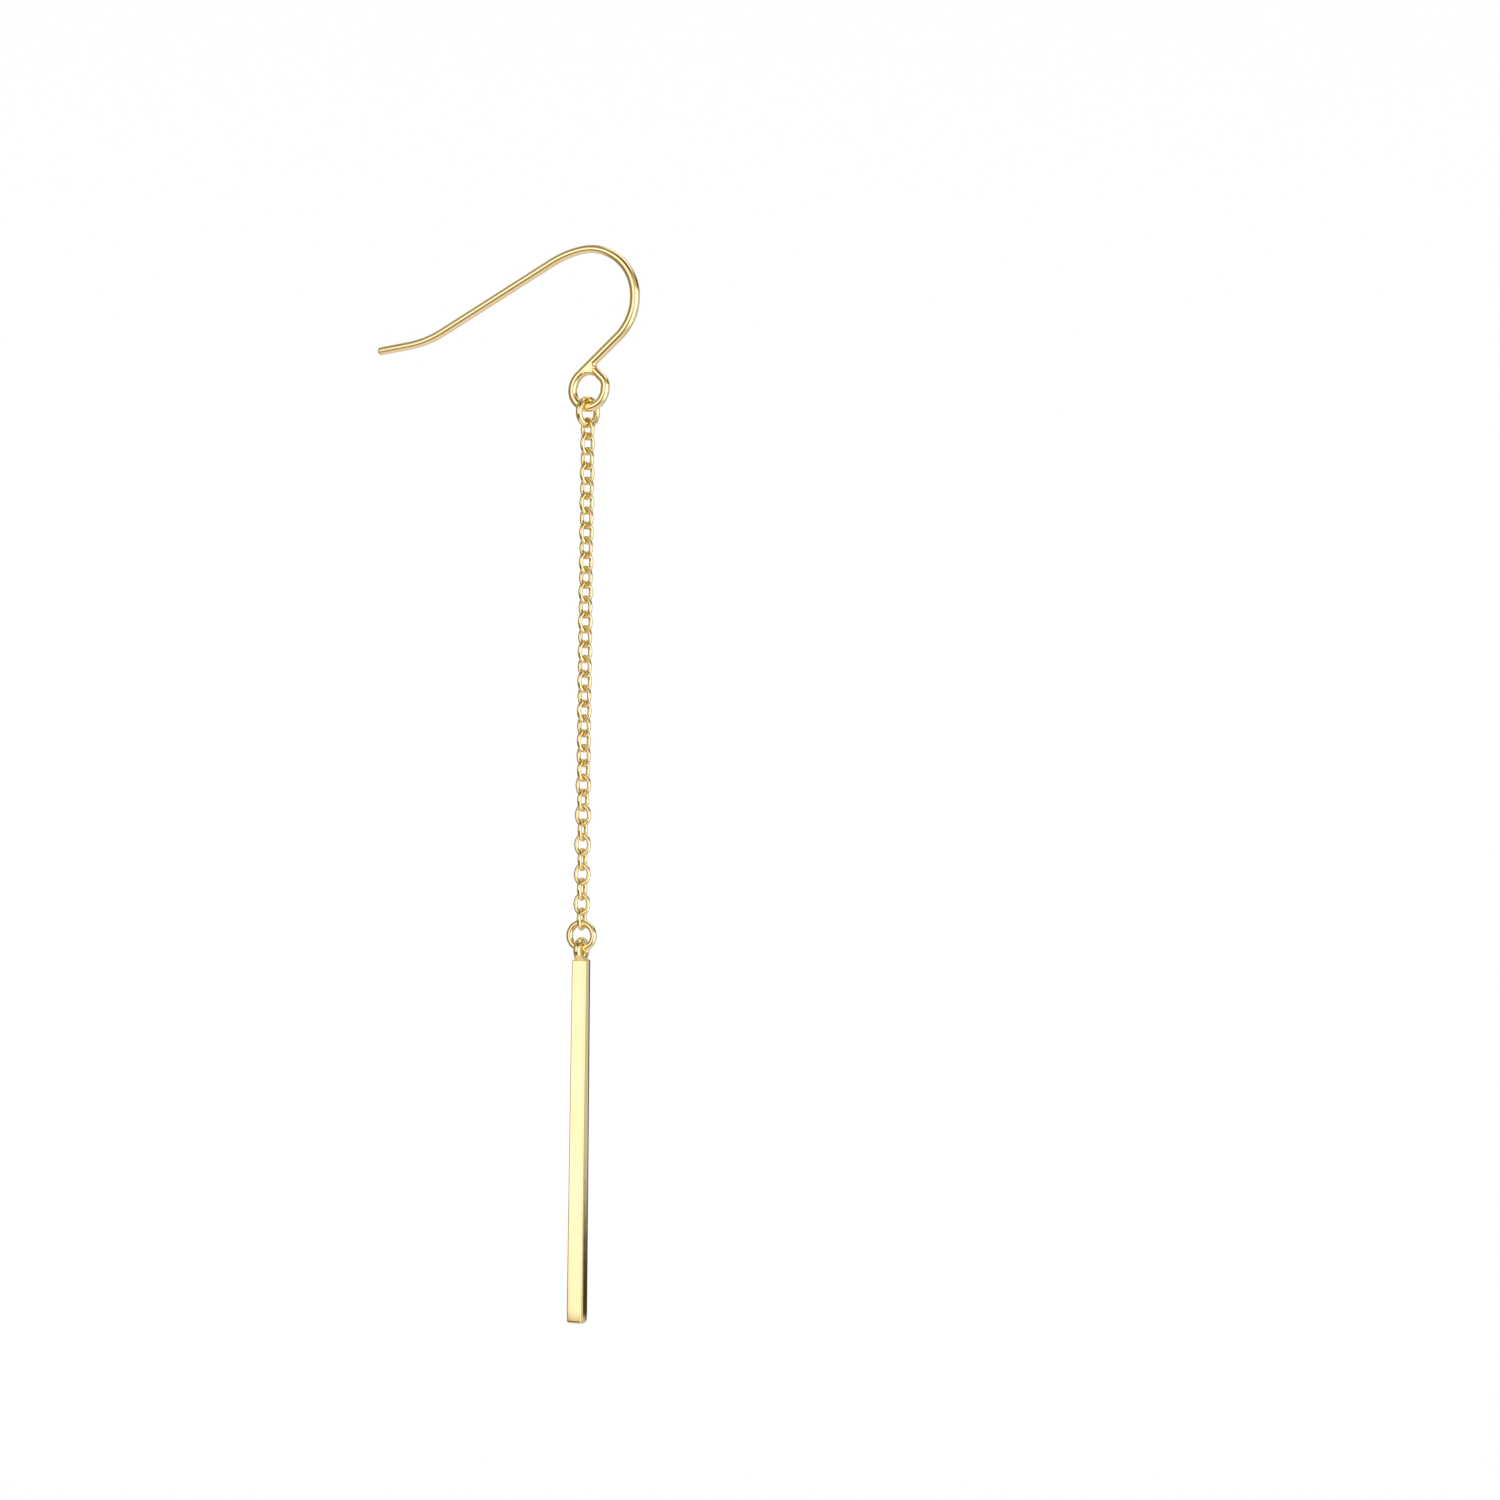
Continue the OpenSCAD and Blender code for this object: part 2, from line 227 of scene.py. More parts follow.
class Graph:
    """Adds nodes to one tree and feeds their inputs with values or other nodes' outputs."""

    def __init__(self, tree):
        self.tree = tree

    @staticmethod
    def pick(sockets, key):
        """A socket by its place, or the first one in use with that name."""
        if isinstance(key, int):
            return sockets[key]
        return next(s for s in sockets if s.name == key and s.enabled)

    def add(self, kind, inputs=None, **settings):
        """Adds a node with these settings, and feeds its inputs."""
        made = self.tree.nodes.new(kind)
        for name, value in settings.items():
            setattr(made, name, value)
        for key, value in (inputs or {}).items():
            self.feed(self.pick(made.inputs, key), value)
        return made

    def feed(self, socket, value):
        """Feeds an input with another node's output or with a value."""
        if isinstance(value, bpy.types.NodeSocket):
            self.tree.links.new(value, socket)
        else:
            socket.default_value = value

    def out(self, kind, inputs=None, output=0, **settings):
        """Adds a node and gives one of its outputs."""
        made = self.add(kind, inputs, **settings)
        return self.pick(made.outputs, output)

    def math(self, operation, a, b=0.0, c=0.0):
        return self.out("ShaderNodeMath", {0: a, 1: b, 2: c}, operation=operation)

    def times(self, *values):
        """Multiplies values from left to right."""
        return functools.reduce(lambda a, b: self.math("MULTIPLY", a, b), values)

    def vector_math(self, operation, a, b=(0.0, 0.0, 0.0)):
        output = "Value" if operation == "DOT_PRODUCT" else "Vector"
        return self.out("ShaderNodeVectorMath", {0: a, 1: b}, output, operation=operation)

    def between(self, value, from_min, from_max, to_min=0.0, to_max=1.0):
        """Carries a range of values to another, with soft ends."""
        inputs = {
            "Value": value, "From Min": from_min, "From Max": from_max, "To Min": to_min, "To Max": to_max
        }
        return self.out("ShaderNodeMapRange", inputs, interpolation_type="SMOOTHSTEP")

    def noise(self, place, scale, detail, roughness=0.5):
        """Noise from 0 to 1; its scale is the number of its lumps in a metre."""
        inputs = {"Vector": place, "Scale": scale, "Detail": detail, "Roughness": roughness}
        return self.out("ShaderNodeTexNoise", inputs, "Fac")

    def group(self, name, inputs):
        """A node that runs a node group on these inputs; gives its outputs."""
        return self.add("ShaderNodeGroup", inputs, node_tree=group_named(name)).outputs

    def circle(self, steps, radius=1.0):
        """A circle as a curve."""
        return self.out("GeometryNodeCurvePrimitiveCircle", {"Resolution": steps, "Radius": radius})

    def keep_vector(self, geometry, name, value):
        """Keeps a vector on each point of a geometry."""
        inputs = {"Geometry": geometry, "Name": name, "Value": value}
        return self.out("GeometryNodeStoreNamedAttribute", inputs, data_type="FLOAT_VECTOR")

    def kept(self, name, data_type="FLOAT"):
        """What is kept on each point under a name."""
        reader = "GeometryNodeInputNamedAttribute"
        return self.out(reader, {"Name": name}, "Attribute", data_type=data_type)

    def mix_colour(self, factor, a, b):
        return self.out("ShaderNodeMix", {"Factor": factor, "A": a, "B": b}, "Result", data_type="RGBA")


def socket_kind(value):
    """The kind of socket that holds a value."""
    if isinstance(value, int):
        return "NodeSocketInt"
    if isinstance(value, float):
        return "NodeSocketFloat"
    return "NodeSocketVector" if len(value) == 3 else "NodeSocketColor"


def new_group(name, kind, inputs, outputs):
    """A node group with inputs (name: default, or kind of socket) and outputs (name: kind)."""
    tree = bpy.data.node_groups.new(name, kind)
    for label, default in inputs.items():
        socket_type = default if isinstance(default, str) else socket_kind(default)
        made = tree.interface.new_socket(label, in_out="INPUT", socket_type=socket_type)
        if not isinstance(default, str):
            made.default_value = default
    for label, socket_type in outputs.items():
        tree.interface.new_socket(label, in_out="OUTPUT", socket_type=socket_type)
    graph = Graph(tree)
    given = graph.add("NodeGroupInput").outputs
    result = graph.add("NodeGroupOutput").inputs
    return graph, given, result


# Low and high end of the noise's range that turns the plating warm, and how far each end does so
PATCHES = (0.35, 0.7, 0.0, 0.6)


def plating_tone_group():
    """Colour of plating that is a little thicker in some places than in others, and painted warmer below
    a given height as a painted reflection.
    """
    inputs = {
        "Vector": (0.0, 0.0, 0.0),
        "Plating": (1.0, 1.0, 1.0, 1.0),
        "Warm plating": (1.0, 1.0, 1.0, 1.0),
        "Patch size": 3 * MM,
        # Height below which the plating is painted warm, a painted reflection, and the width of its soft
        # edge
        "Painted warmth below": -1.0,
        "Painted warmth edge": 10 * MM,
    }
    outputs = {"Color": "NodeSocketColor"}
    graph, given, result = new_group("Plating tone", "ShaderNodeTree", inputs, outputs)
    noise = graph.noise(given["Vector"], graph.math("DIVIDE", 1.0, given["Patch size"]), 3.0)
    patches = graph.between(noise, *PATCHES)
    # The mask joins the random warm patches with painted warmth below a height, a painted reflection
    height = graph.add("ShaderNodeSeparateXYZ", {0: given["Vector"]}).outputs["Z"]
    low = graph.math("SUBTRACT", given["Painted warmth below"], given["Painted warmth edge"])
    high = graph.math("ADD", given["Painted warmth below"], given["Painted warmth edge"])
    mask = graph.math("MAXIMUM", patches, graph.between(height, low, high, 1.0, 0.0))
    graph.feed(result["Color"], graph.mix_colour(mask, given["Plating"], given["Warm plating"]))
    return graph.tree


# Lumps to the metre of the smears and dents that a hand leaves in polishing, the depth of its fine
# marks, and how both change the roughness: low and high end of the noise, and a factor for each
SMEARS = 0.7 / MM
DENTS = 0.6 / MM
MARK_DEPTH = 0.002 * MM
SMEARED = (0.4, 0.75, 0.85, 1.5)
MARKED = (0.3, 0.8, 0.85, 1.2)


def polish_marks_group():
    """Fine marks left by polishing: a roughness and a normal."""
    inputs = {
        "Vector": (0.0, 0.0, 0.0),
        "Stretch": (1.0, 1.0, 1.0),
        "Mark width": 0.03 * MM,
        "Roughness": 0.1,
        "Strength": 0.2,
        "Dents": 0.0,
    }
    outputs = {"Roughness": "NodeSocketFloat", "Normal": "NodeSocketVector"}
    graph, given, result = new_group("Polish marks", "ShaderNodeTree", inputs, outputs)
    place = given["Vector"]
    stretched = graph.vector_math("MULTIPLY", place, given["Stretch"])
    marks = graph.noise(stretched, graph.math("DIVIDE", 1.0, given["Mark width"]), 4.0, 0.65)
    smeared = graph.between(graph.noise(place, SMEARS, 2.0), *SMEARED)
    fine = graph.between(marks, *MARKED)
    graph.feed(result["Roughness"], graph.times(given["Roughness"], smeared, fine))
    dents = graph.times(graph.noise(place, DENTS, 1.0), given["Dents"])
    scratches = graph.times(marks, graph.times(given["Strength"], MARK_DEPTH))
    inputs = {"Strength": 1.0, "Distance": 1.0, "Height": graph.math("ADD", scratches, dents)}
    graph.feed(result["Normal"], graph.out("ShaderNodeBump", inputs, "Normal"))
    return graph.tree


def tip_wear_group():
    """Roughness that grows towards the start of a straightened wire, where it rubs in the ear."""
    inputs = {"Vector": (0.0, 0.0, 0.0), "Length": 8 * MM, "Wear": 0.1, "Roughness": 0.1}
    outputs = {"Roughness": "NodeSocketFloat"}
    graph, given, result = new_group("Tip wear", "ShaderNodeTree", inputs, outputs)
    travelled = graph.add("ShaderNodeSeparateXYZ", {0: given["Vector"]}).outputs["Z"]
    worn = graph.between(travelled, 0.0, given["Length"], given["Wear"], 0.0)
    graph.feed(result["Roughness"], graph.math("ADD", given["Roughness"], worn))
    return graph.tree


def gold_material(name, stretch, patch_size, matt, grain):
    """Polished gold plating; grain names the attribute that its marks follow."""
    finish = bpy.context.scene.earring_gold
    material = bpy.data.materials.new(name)
    material.use_nodes = True
    material.node_tree.nodes.clear()
    graph = Graph(material.node_tree)
    place = graph.out("ShaderNodeTexCoord", output="Object")
    along = graph.out("ShaderNodeAttribute", output="Vector", attribute_name=grain) if grain else place
    toned = {
        "Vector": place,
        "Plating": (*finish.plating, 1.0),
        "Warm plating": (*finish.warm, 1.0),
        "Patch size": patch_size,
    }
    # Only the bar gets painted warmth at its lower end, a painted reflection
    if name == "polished_bar":
        toned["Painted warmth below"] = -finish.painted_warmth_below
    marked = {
        "Vector": along,
        "Stretch": stretch,
        "Roughness": finish.roughness * matt,
        "Strength": finish.polish,
        "Dents": finish.dents,
    }
    tone = graph.group("Plating tone", toned)
    marks = graph.group("Polish marks", marked)
    roughness = marks["Roughness"]
    if name == "polished_wire":
        worn = {
            "Vector": along, "Length": finish.worn_length, "Wear": finish.wear, "Roughness": roughness
        }
        roughness = graph.group("Tip wear", worn)["Roughness"]
    shown = {
        "Base Color": tone["Color"], "Roughness": roughness, "Normal": marks["Normal"], "Metallic": 1.0
    }
    shader = graph.out("ShaderNodeBsdfPrincipled", shown)
    graph.add("ShaderNodeOutputMaterial", {"Surface": shader})
    return material


def material_named(name):
    """The gold of one part of the earring, made when it is first asked for."""
    return bpy.data.materials.get(name) or gold_material(name, *MATERIALS[name])


# How each gold's polish marks are drawn out, the size of its patches, how much rougher than the
# finish it is, and what its marks follow
MATERIALS = {
    "polished_wire": ((1, 1, 0.04), 4 * MM, 1.0, "straightened"),
    "polished_ring": ((1, 1, 0.1), 2 * MM, 1.5, "straightened"),
    "polished_links": ((1, 1, 0.2), 1.5 * MM, 1.8, "straightened"),
    "polished_bar": ((1, 1, 0.03), 5 * MM, 1.0, None),
    "polished_solder": ((1, 1, 1), 1 * MM, 2.0, None),
}


def new_tree(name, sizes):
    """A Geometry Nodes tree whose inputs are what it grows from, its sizes and its material."""
    inputs = {"Geometry": "NodeSocketGeometry", **sizes, "Material": "NodeSocketMaterial"}
    return new_group(name, "GeometryNodeTree", inputs, {"Geometry": "NodeSocketGeometry"})


# Radius at which the straightened wire keeps its polish marks
GRAIN_RADIUS = 0.4 * MM


def wire_along(graph, curve, radius, sides, capped):
    """Round wire along a curve, with the straightened wire's own place kept in an attribute."""
    travelled = graph.out("GeometryNodeSplineParameter", output="Length")
    inputs = {"Geometry": curve, "Name": "travelled", "Value": travelled}
    curve = graph.out("GeometryNodeStoreNamedAttribute", inputs)
    profile = graph.keep_vector(graph.circle(sides), "corner", graph.out("GeometryNodeInputPosition"))
    inputs = {"Curve": curve, "Profile Curve": profile, "Scale": radius, "Fill Caps": capped}
    tube = graph.out("GeometryNodeCurveToMesh", inputs)
    corner = graph.kept("corner", "FLOAT_VECTOR")
    round_wire = graph.vector_math("MULTIPLY", corner, (GRAIN_RADIUS, GRAIN_RADIUS, 0.0))
    along = graph.out("ShaderNodeCombineXYZ", {"Z": graph.kept("travelled")})
    return graph.keep_vector(tube, "straightened", graph.vector_math("ADD", round_wire, along))


def finish_tree(graph, geometry, material, result):
    """Ends a tree: smooth shading, real geometry and its material."""
    smooth = graph.out("GeometryNodeSetShadeSmooth", {"Geometry": geometry})
    real = graph.out("GeometryNodeRealizeInstances", {"Geometry": smooth})
    painted = graph.out("GeometryNodeSetMaterial", {"Geometry": real, "Material": material})
    graph.feed(result["Geometry"], painted)


def swept_wire_tree():
    """Sweeps round wire along an edge path, whose points hold the wire's radius."""
    graph, given, result = new_tree("Swept wire", {"Sides": 32})
    curve = graph.out("GeometryNodeMeshToCurve", {"Mesh": given["Geometry"]})
    wire = wire_along(graph, curve, graph.kept("wire_radius"), given["Sides"], True)
    finish_tree(graph, wire, given["Material"], result)
    return graph.tree


# How far to either side a ring's solder bead reaches
BEAD_REACH = 0.35 * MM


def ring_tree():
    """A closed ring of round wire, with a fine seam where its ends meet."""
    sizes = {
        "Radius": 1.265 * MM,
        "Wire": 0.67 * MM,
        "Seam depth": 0.06,
        "Seam width": 0.05 * MM,
        "Solder bead": 0.0,
        "Steps": 160,
        "Sides": 28,
    }
    graph, given, result = new_tree("Jump ring", sizes)
    circle = graph.circle(given["Steps"], given["Radius"])
    travelled = graph.out("GeometryNodeSplineParameter", output="Length")
    half_round = graph.times(given["Radius"], math.pi)
    from_seam = graph.math("ABSOLUTE", graph.math("SUBTRACT", travelled, half_round))
    at_seam = graph.math("SUBTRACT", 1.0, given["Seam depth"])
    seam = graph.between(from_seam, 0.0, given["Seam width"], at_seam, 1.0)
    swell = graph.between(from_seam, 0.0, BEAD_REACH, given["Solder bead"], 0.0)
    share_kept = graph.times(seam, graph.math("ADD", 1.0, swell))
    radius = graph.times(given["Wire"], 0.5, share_kept)
    wire = wire_along(graph, circle, radius, given["Sides"], False)
    finish_tree(graph, wire, given["Material"], result)
    return graph.tree


# How far to either side a link's solder bead reaches, as a share of its way round
LINK_BEAD_REACH = 0.045


def chain_tree():
    """Oval links on points that hold their turns."""
    sizes = {
        "Link length": 2.355 * MM,
        "Link width": 1.73 * MM,
        "Wire": 0.42 * MM,
        "Squareness": 2.0,
        "Solder bead": 0.07,
        "Loose turn": 0.03,
        "Fine steps": 96,
        "Steps": 64,
        "Sides": 18,
        "Seed": 0,
    }
    graph, given, result = new_tree("Cable chain", sizes)
    spot = graph.add("ShaderNodeSeparateXYZ", {0: graph.out("GeometryNodeInputPosition")})
    power = graph.math("DIVIDE", 2.0, given["Squareness"])
    reached = []
    for axis, label in enumerate(("Link width", "Link length")):
        side = spot.outputs[axis]
        eased_side = graph.math("POWER", graph.math("ABSOLUTE", side), power)
        signed = graph.times(graph.math("SIGN", side), eased_side)
        size = graph.math("SUBTRACT", given[label], given["Wire"])
        reached.append(graph.times(size, 0.5, signed))
    flat = graph.out("ShaderNodeCombineXYZ", {0: reached[0], 1: reached[1]})
    circle = graph.circle(given["Fine steps"])
    oval = graph.out("GeometryNodeSetPosition", {"Geometry": circle, "Position": flat})
    even = graph.out("GeometryNodeResampleCurve", {"Curve": oval, "Count": given["Steps"]})
    at = graph.out("GeometryNodeSplineParameter", output="Factor")
    from_joint = graph.math("ABSOLUTE", graph.math("SUBTRACT", at, 0.5))
    swell = graph.between(from_joint, 0.0, LINK_BEAD_REACH, given["Solder bead"], 0.0)
    radius = graph.times(given["Wire"], 0.5, graph.math("ADD", 1.0, swell))
    wire = wire_along(graph, even, radius, given["Sides"], False)
    upright = graph.out("GeometryNodeTransform", {"Geometry": wire, "Rotation": (math.pi / 2, 0.0, 0.0)})
    least = graph.times(given["Loose turn"], -1.0)
    inputs = {"Min": least, "Max": given["Loose turn"], "Seed": given["Seed"]}
    loose = graph.out("FunctionNodeRandomValue", inputs, "Value")
    euler = graph.out("ShaderNodeCombineXYZ", {2: graph.math("ADD", graph.kept("turn"), loose)})
    rotation = graph.out("FunctionNodeEulerToRotation", {"Euler": euler})
    inputs = {"Points": given["Geometry"], "Instance": upright, "Rotation": rotation}
    links = graph.out("GeometryNodeInstanceOnPoints", inputs)
    finish_tree(graph, links, given["Material"], result)
    return graph.tree


def group_named(name):
    """A node group, made when it is first asked for."""
    makers = {
        "Plating tone": plating_tone_group,
        "Polish marks": polish_marks_group,
        "Tip wear": tip_wear_group,
        "Swept wire": swept_wire_tree,
        "Jump ring": ring_tree,
        "Cable chain": chain_tree,
        "Soft window": soft_window_group,
    }
    return bpy.data.node_groups.get(name) or makers[name]()


def path_mesh(name, points, attributes, joined=True):
    """Points as a mesh, joined into a path where asked, with a number on each of them."""
    mesh = bpy.data.meshes.new(name)
    edges = [(i, i + 1) for i in range(len(points) - 1)] if joined else []
    mesh.from_pydata([tuple(p) for p in points], edges, [])
    for label, values in attributes.items():
        mesh.attributes.new(label, "FLOAT", "POINT").data.foreach_set("value", values)
    return mesh


def grow(name, mesh, tree_name, values):
    """Runs a tree on a mesh and gives its result as a plain object."""
    tree = group_named(tree_name)
    piece = bpy.data.objects.new(name, mesh)
    bpy.context.scene.collection.objects.link(piece)
    modifier = piece.modifiers.new(tree_name, "NODES")
    modifier.node_group = tree
    sockets = {s.name: s.identifier for s in tree.interface.items_tree if s.in_out == "INPUT"}
    for label, value in values.items():
        modifier[sockets[label]] = value
    depsgraph = bpy.context.evaluated_depsgraph_get()
    made = bpy.data.meshes.new_from_object(
        piece.evaluated_get(depsgraph), preserve_all_data_layers=True, depsgraph=depsgraph
    )
    piece.modifiers.clear()
    piece.data = made
    made.name = name
    return piece


def solid(name, mesh, material):
    """An object for a finished mesh, in one gold."""
    mesh.materials.append(material_named(material))
    made = bpy.data.objects.new(name, mesh)
    bpy.context.scene.collection.objects.link(made)
    return made


def settle(piece, body, slot, *nodes):
    """Hangs a finished piece on what it rides on and hides the parts that it stands for; its slot is not
    used.
    """
    if not piece.data.polygons:
        raise RuntimeError(f"{piece.name} came out empty")
    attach(piece, body)
    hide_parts(*nodes)


def quarter_round(radius, steps):
    """Rows (run, inset) of a rounded end, out to its furthest point."""
    turns = [k / steps * math.pi / 2 for k in range(steps + 1)]
    return [(radius * math.sin(turn), radius * (1 - math.cos(turn))) for turn in turns]


def turned_point(x, y, turn):
    """A point turned about the origin."""
    c, d = math.cos(turn), math.sin(turn)
    return x * c - y * d, x * d + y * c


def eased(share_along):
    """A share from 0 to 1 that starts and ends slowly."""
    t = min(1.0, max(0.0, share_along))
    return t * t * (3 - 2 * t)


def after(pose, run, bend):
    """The pose (x, z, heading) at the end of a straight, or of a bend where bend is its radius."""
    x, z, heading = pose
    if not bend:
        return (x + run * math.cos(heading), z + run * math.sin(heading), heading)
    turned = heading + run
    radius = math.copysign(bend, run)
    x += radius * (math.sin(turned) - math.sin(heading))
    z -= radius * (math.cos(turned) - math.cos(heading))
    return (x, z, turned)


BEND_STEP = math.radians(2.5)
STRAIGHT_STEP = 0.4 * MM


def sections(run):
    """Sections (x, z, heading, wire) along rows of (run, bend, wire from, wire to)."""
    pose = (0.0, 0.0, 0.0)
    found = []
    for row_run, bend, wire_from, wire_to in run:
        step = BEND_STEP if bend else STRAIGHT_STEP
        count = max(1, math.ceil(abs(row_run) / step))
        for k in range(1, count + 1):
            part = k / count
            at = after(pose, row_run * part, bend)
            found.append((*at, wire_from + (wire_to - wire_from) * part))
        pose = after(pose, row_run, bend)
    return found


def back_run(s):
    """Rows from the crown back to the tip's straight end, in a plane mirrored left to right."""
    return [
        (-s.crown_back, s.crown_radius, s.crown_wire, s.crown_wire),
        (-s.brow, s.brow_radius, s.crown_wire, s.back_leg_wire),
        (s.back_leg, 0, s.back_leg_wire, s.back_leg_wire),
        (s.tip_bend, s.tip_bend_radius, s.back_leg_wire, s.tip_wire),
        (s.tip_length, 0, s.tip_wire, s.tip_wire),
    ]


def front_run(s):
    """Rows from the crown down the front leg and round the eye, up to its last straight."""
    eye_entry = s.crown_front + s.front - math.pi / 2
    return [
        (-s.crown_front, s.crown_radius, s.crown_wire, s.front_wire),
        (-s.front, s.front_radius, s.front_wire, s.front_leg_wire),
        (s.front_leg, 0, s.front_leg_wire, s.eye_wire),
        (eye_entry, s.shoulder_radius, s.eye_wire, s.eye_wire),
        (math.pi, s.eye_radius, s.eye_wire, s.eye_wire),
        (s.eye_rise, 0, s.eye_wire, s.eye_wire),
        (s.closing, s.closing_radius, s.eye_wire, s.closing_wire),
    ]


def pose_after(run, count):
    """The pose at the end of the first rows of a run."""
    pose = (0.0, 0.0, 0.0)
    for row_run, bend, _, _ in run[:count]:
        pose = after(pose, row_run, bend)
    return pose


def reach_to_line(a, b):
    """Distance along pose a's heading to the line through pose b."""
    across = (b[0] - a[0]) * math.sin(b[2]) - (b[1] - a[1]) * math.cos(b[2])
    return across / math.sin(b[2] - a[2])


# The front leg's row in the front run, and the steps of a rounded end
LEG_ROW = 3
ROUND_STEPS = 6


def ear_wire_path(s):
    """Sections of the whole ear wire, from its tip to the end of the eye."""
    back = sections(back_run(s))
    tip_pose = back[-1][:3]
    tip = [
        (*after(tip_pose, run, 0), s.tip_wire - 2 * inset)
        for run, inset in quarter_round(s.tip_bevel, ROUND_STEPS)[1:]
    ]
    mirrored = [(-x, z, -heading, wire) for x, z, heading, wire in reversed(back + tip)]
    front = front_run(s)
    start = pose_after(front, len(front))
    closing = reach_to_line(start, pose_after(front, LEG_ROW))
    end = []
    steps = math.ceil(closing / (s.groove / 2))
    for k in range(1, steps + 1):
        x, z, heading = after(start, closing * k / steps, 0)
        taper = s.closing_taper * eased(k / steps)
        from_groove = (closing * (1 - k / steps) - s.groove_place) / (s.groove / 2)
        wire = (s.closing_wire - taper) * (1 - s.groove_depth * math.exp(-(from_groove**2)))
        x += taper / 2 * math.sin(heading)
        z -= taper / 2 * math.cos(heading)
        end.append((x, z, heading, wire))
    rise = pose_after(front, len(front) - 2)
    fullest = rise[1] + s.eye_rise / 2 + s.fullness_place
    eye = []
    for x, z, heading, wire in sections(front) + end:
        if heading > 0.0:
            x += s.fullness * math.exp(-(((z - fullest) / s.fullness_reach) ** 2))
        eye.append((x, z, heading, wire))
    return mirrored + [(0.0, 0.0, 0.0, s.crown_wire)] + eye


def wire_field(points, radii):
    """Signed distance to round wire along points, with its radius at each of them."""
    starts = np.array(points[:-1], float)
    runs = np.array(points[1:], float) - starts
    radii = np.array(radii, float)

    def field(p):
        best = np.full(p.shape[:-1], np.inf)
        for start, run, from_radius, to_radius in zip(starts, runs, radii[:-1], radii[1:]):
            away = p - start
            along = np.clip(away @ run / (run @ run), 0.0, 1.0)
            gap = np.linalg.norm(away - along[..., None] * run, axis=-1)
            best = np.minimum(best, gap - from_radius - (to_radius - from_radius) * along)
        return best

    return field


def merged(a, b, blend):
    """Union of two signed distances with a fillet between them."""
    near = np.maximum(blend - np.abs(a - b), 0.0) / blend
    return np.minimum(a, b) - near * near * blend / 4


# A skin's cell, the reach over which its slope is read, the steps in which its points settle on the
# surface, and the least squared slope that they trust
SKIN_CELL = 0.032 * MM
SLOPE_REACH = SKIN_CELL / 8
SETTLE_STEPS = 5
LEAST_SLOPE = 0.04


def slope(field, p):
    """Gradient of a field at points."""
    steps = np.eye(3) * SLOPE_REACH
    return np.stack([(field(p + step) - field(p - step)) / (2 * SLOPE_REACH) for step in steps], axis=-1)


def cells_round(index, axis):
    """For each edge of a grid along an axis, the four cells round it, in turning order."""
    u, v = (axis + 1) % 3, (axis + 2) % 3
    cells = []
    for du, dv in ((0, 0), (1, 0), (1, 1), (0, 1)):
        cut = [slice(None)] * 3
        cut[u] = slice(1 - du, index.shape[u] - du)
        cut[v] = slice(1 - dv, index.shape[v] - dv)
        cells.append(index[tuple(cut)])
    return np.stack(cells, axis=-1)


def skin(name, field, low, high):
    """Closed mesh of the place where a field is below zero, inside a box that holds all of it."""
    low, high = np.array(low, float), np.array(high, float)
    ticks = [a + SKIN_CELL * np.arange(math.ceil((b - a) / SKIN_CELL) + 1) for a, b in zip(low, high)]
    inside = field(np.stack(np.meshgrid(*ticks, indexing="ij"), axis=-1)) < 0
    lower, upper = slice(None, -1), slice(1, None)
    corners = [inside[cut] for cut in itertools.product((lower, upper), repeat=3)]
    mixed = np.any(corners, axis=0) & ~np.all(corners, axis=0)
    index = np.full(mixed.shape, -1)
    index[mixed] = np.arange(mixed.sum())
    middles = low + SKIN_CELL * (np.argwhere(mixed) + 0.5)
    points = middles.copy()
    for _ in range(SETTLE_STEPS):
        grade = slope(field, points)
        points -= (field(points) / np.maximum((grade**2).sum(-1), LEAST_SLOPE))[:, None] * grade
        points = np.clip(points, middles - SKIN_CELL, middles + SKIN_CELL)
    faces = []
    for axis in range(3):
        cut = [slice(1, -1)] * 3
        cut[axis] = lower
        before = inside[tuple(cut)]
        cut[axis] = upper
        beyond = inside[tuple(cut)]
        quads = cells_round(index, axis)
        faces += quads[before & ~beyond].tolist()
        faces += quads[beyond & ~before][:, ::-1].tolist()
    mesh = bpy.data.meshes.new(name)
    mesh.from_pydata(points.tolist(), [], faces)
    mesh.shade_smooth()
    grade = slope(field, points)
    mesh.normals_split_custom_set_from_vertices(grade / np.linalg.norm(grade, axis=-1, keepdims=True))
    return mesh


# How far a solder's skin stands above the wire that it laps on, and how round its filed edges are
LAP = 0.002 * MM
FILED_EDGE = 0.06 * MM
GROOVE_EDGE = 0.04 * MM

# Lengths of the closing strand and of the leg that the eye's solder meets, half the size of the box
# that holds it, and how softly its fillet passes to the eye's outside and to the leg's far side
STRAND_REACH = 1.6 * MM
LEG_REACH = 2.6 * MM
JOINT_HALF = np.array((2.1, 0.6, 2.1)) * MM
OUTSIDE_FADE = 0.4 * MM
FAR_SIDE_FADE = 0.25 * MM


def faded(distance, fade):
    """From 1 to 0 as a distance passes zero, over this much to either side."""
    return 0.5 - 0.5 * np.clip(distance / fade, -1.0, 1.0)


